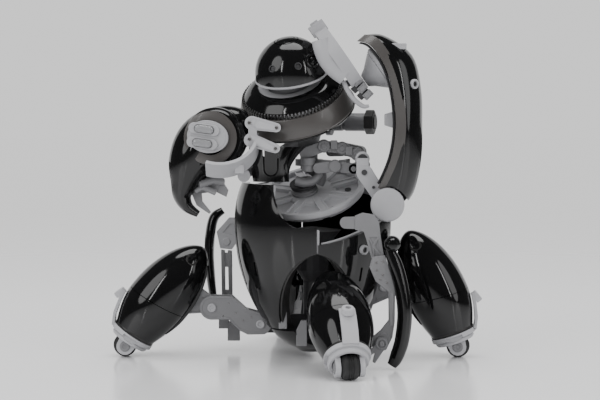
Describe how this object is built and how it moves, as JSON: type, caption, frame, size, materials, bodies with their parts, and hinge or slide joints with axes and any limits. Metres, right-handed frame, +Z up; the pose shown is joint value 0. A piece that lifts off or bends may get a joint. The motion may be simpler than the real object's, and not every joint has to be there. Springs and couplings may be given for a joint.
{
  "type": "hexapod spider robot",
  "caption": "Egg-bodied walking robot on wheeled boot legs, with a domed head, a hooked arm, a crescent arm and small side arms.",
  "frame": {"origin": "middle of the footprint of the bounding box, on the floor under the wheels", "axes": "+Z up, +X to the viewer's right with -Y facing the viewer, who sees the lens panel and the front leg"},
  "size_m": [0.204, 0.1826, 0.1859],
  "materials": {
    "clear": "gloss",
    "dark_grey": "matte",
    "gloss_black": "gloss",
    "light_grey": "matte",
    "mid_grey": "matte",
    "rubber": "matte",
    "satin_black": "satin"
  },
  "bodies": {
    "egg_body": {"accessory_port": "light_grey", "chassis_core": "dark_grey", "deck_disc": "mid_grey", "egg_bottom_cap": "gloss_black", "egg_front_left": "gloss_black", "egg_front_right": "gloss_black", "egg_rear_left": "gloss_black", "egg_rear_right": "gloss_black"},
    "turret": {"turret_ring": "mid_grey", "waist_arm": "mid_grey"},
    "torso": {"brim_band": "gloss_black", "chest_shell": "gloss_black", "cone_shell": "gloss_black", "rear_knob": "mid_grey", "tooth_ring": "satin_black", "torso_frame": "mid_grey"},
    "head": {"head_dome": "gloss_black", "head_hatch": "gloss_black", "head_ring": "light_grey", "side_lens": "gloss_black"},
    "left_shoulder": {"left_cuff": "light_grey"},
    "left_arm": {"left_arm_panel": "light_grey", "left_arm_shell": "gloss_black", "left_lens_lower": "clear", "left_lens_upper": "clear"},
    "left_claw_body": {"left_claw": "mid_grey"},
    "right_boom": {"right_link_lower": "mid_grey", "right_link_upper": "mid_grey"},
    "right_elbow": {"right_bracket": "light_grey"},
    "right_arm": {"right_arm_shell": "gloss_black", "right_horn": "light_grey", "right_hub_cap": "light_grey"},
    "right_wrist": {"right_cuff": "light_grey"},
    "right_small_upper_arm": {"right_small_upper": "mid_grey"},
    "right_small_lower_arm": {"right_small_armour": "gloss_black", "right_small_forearm": "mid_grey"},
    "right_small_hand": {"right_small_claw": "mid_grey"},
    "left_small_upper_arm": {"left_small_upper": "light_grey"},
    "left_small_lower_arm": {"left_small_armour": "gloss_black", "left_small_forearm": "mid_grey"},
    "left_thigh": {"left_thigh_link": "mid_grey"},
    "left_shin": {"left_ankle_fork": "light_grey", "left_boot_shell": "gloss_black", "left_shin_frame": "mid_grey"},
    "left_roller": {"left_wheel": "rubber"},
    "right_thigh": {"right_thigh_link": "mid_grey"},
    "right_shin": {"right_ankle_fork": "light_grey", "right_boot_shell": "gloss_black", "right_shin_frame": "mid_grey"},
    "right_roller": {"right_wheel": "rubber"},
    "front_thigh": {"front_thigh_link": "mid_grey"},
    "front_shin": {"front_ankle_fork": "light_grey", "front_boot_shell": "gloss_black", "front_shin_frame": "mid_grey"},
    "front_roller": {"front_wheel": "rubber"},
    "rear_thigh": {"rear_thigh_link": "mid_grey"},
    "rear_shin": {"rear_ankle_fork": "light_grey", "rear_boot_shell": "gloss_black", "rear_shin_frame": "mid_grey"},
    "rear_roller": {"rear_wheel": "rubber"}
  },
  "joints": [
    {"name": "left_hip", "type": "hinge", "parent": "egg_body", "child": "left_thigh", "pos_m": [-0.0201, 0.0002, 0.01818], "axis": [0, -1, 0], "range_deg": [-6, 6]},
    {"name": "left_knee", "type": "hinge", "parent": "left_thigh", "child": "left_shin", "pos_m": [-0.0469, 0.0002, 0.02719], "axis": [0, -1, 0], "range_deg": [-6, 6]},
    {"name": "left_wheel_spin", "type": "hinge", "parent": "left_shin", "child": "left_roller", "pos_m": [-0.09483, 0.0002, 0.00656], "axis": [0, -1, 0], "continuous": true},
    {"name": "right_hip", "type": "hinge", "parent": "egg_body", "child": "right_thigh", "pos_m": [0.02709, -0.00045, 0.01938], "axis": [0.0349, 0.9994, 0], "range_deg": [-2, 6]},
    {"name": "right_knee", "type": "hinge", "parent": "right_thigh", "child": "right_shin", "pos_m": [0.04765, -0.00116, 0.03877], "axis": [0.0349, 0.9994, 0], "range_deg": [-2, 6]},
    {"name": "right_wheel_spin", "type": "hinge", "parent": "right_shin", "child": "right_roller", "pos_m": [0.08858, -0.00259, 0.00644], "axis": [0.0349, 0.9994, 0], "continuous": true},
    {"name": "front_hip", "type": "hinge", "parent": "egg_body", "child": "front_thigh", "pos_m": [0.01372, -0.01159, 0.03188], "axis": [0.9848, 0.1736, 0], "range_deg": [-1, 5]},
    {"name": "front_knee", "type": "hinge", "parent": "front_thigh", "child": "front_shin", "pos_m": [0.01767, -0.03397, 0.01507], "axis": [0.9848, 0.1736, 0], "range_deg": [-2, 6]},
    {"name": "front_wheel_spin", "type": "hinge", "parent": "front_shin", "child": "front_roller", "pos_m": [0.02661, -0.08468, 0.00665], "axis": [0.9848, 0.1736, 0], "continuous": true},
    {"name": "rear_hip", "type": "hinge", "parent": "egg_body", "child": "rear_thigh", "pos_m": [0.00664, 0.01255, 0.03188], "axis": [-0.9877, -0.1564, 0], "range_deg": [-4, 4]},
    {"name": "rear_knee", "type": "hinge", "parent": "rear_thigh", "child": "rear_shin", "pos_m": [0.00331, 0.03357, 0.01328], "axis": [-0.9877, -0.1564, 0], "range_deg": [-6, 6]},
    {"name": "rear_wheel_spin", "type": "hinge", "parent": "rear_shin", "child": "rear_roller", "pos_m": [-0.00478, 0.08469, 0.00666], "axis": [-0.9877, -0.1564, 0], "continuous": true},
    {"name": "turret_turn", "type": "hinge", "parent": "egg_body", "child": "turret", "pos_m": [0.00413, 0.00284, 0.0907], "axis": [-0.1586, -0.4067, 0.8997], "range_deg": [-2, 2]},
    {"name": "torso_twist", "type": "hinge", "parent": "turret", "child": "torso", "pos_m": [0.0066, 0.0012, 0.10888], "axis": [0, 0, 1], "range_deg": [-2, 2]},
    {"name": "head_turn", "type": "hinge", "parent": "torso", "child": "head", "pos_m": [-0.003, -0.0173, 0.15548], "axis": [-0.147, -0.342, 0.9281], "range_deg": [-30, 30]},
    {"name": "left_shoulder_swing", "type": "hinge", "parent": "torso", "child": "left_shoulder", "pos_m": [-0.0284, -0.0208, 0.10088], "axis": [0, 1, 0], "range_deg": [-4, 4]},
    {"name": "left_wrist_turn", "type": "hinge", "parent": "left_shoulder", "child": "left_arm", "pos_m": [-0.0399, -0.0278, 0.11988], "axis": [0, 1, 0], "range_deg": [-4, 4]},
    {"name": "left_claw_grip", "type": "hinge", "parent": "left_arm", "child": "left_claw_body", "pos_m": [-0.0449, -0.0218, 0.09688], "axis": [0, 1, 0], "range_deg": [-4, 8]},
    {"name": "right_boom_swing", "type": "hinge", "parent": "torso", "child": "right_boom", "pos_m": [0.0066, 0.0012, 0.10988], "axis": [0, 0, 1], "range_deg": [0, 3]},
    {"name": "right_elbow_bend", "type": "hinge", "parent": "right_boom", "child": "right_elbow", "pos_m": [0.0351, -0.0098, 0.10988], "axis": [0, 1, 0], "range_deg": [0, 2]},
    {"name": "right_hub_turn", "type": "hinge", "parent": "right_elbow", "child": "right_arm", "pos_m": [0.0506, -0.0208, 0.08588], "axis": [0, 1, 0], "range_deg": [0, 4]},
    {"name": "right_wrist_turn", "type": "hinge", "parent": "right_arm", "child": "right_wrist", "pos_m": [0.03596, -0.0208, 0.15133], "axis": [-0.8211, 0, -0.5708], "range_deg": [-3, 3]},
    {"name": "right_small_shoulder", "type": "hinge", "parent": "egg_body", "child": "right_small_upper_arm", "pos_m": [0.0366, -0.0298, 0.07688], "axis": [0, 1, 0], "range_deg": [-4, 1]},
    {"name": "right_small_elbow", "type": "hinge", "parent": "right_small_upper_arm", "child": "right_small_lower_arm", "pos_m": [0.0431, -0.0422, 0.05638], "axis": [0, 1, 0], "range_deg": [-4, 1]},
    {"name": "right_small_wrist", "type": "hinge", "parent": "right_small_lower_arm", "child": "right_small_hand", "pos_m": [0.0443, -0.0503, 0.01398], "axis": [0, 1, 0], "range_deg": [-10, 10]},
    {"name": "left_small_shoulder", "type": "hinge", "parent": "egg_body", "child": "left_small_upper_arm", "pos_m": [-0.0304, 0.0262, 0.06988], "axis": [0, 1, 0], "range_deg": [-4, 4]},
    {"name": "left_small_elbow", "type": "hinge", "parent": "left_small_upper_arm", "child": "left_small_lower_arm", "pos_m": [-0.0399, 0.0262, 0.05388], "axis": [0, 1, 0], "range_deg": [-4, 1]}
  ]
}
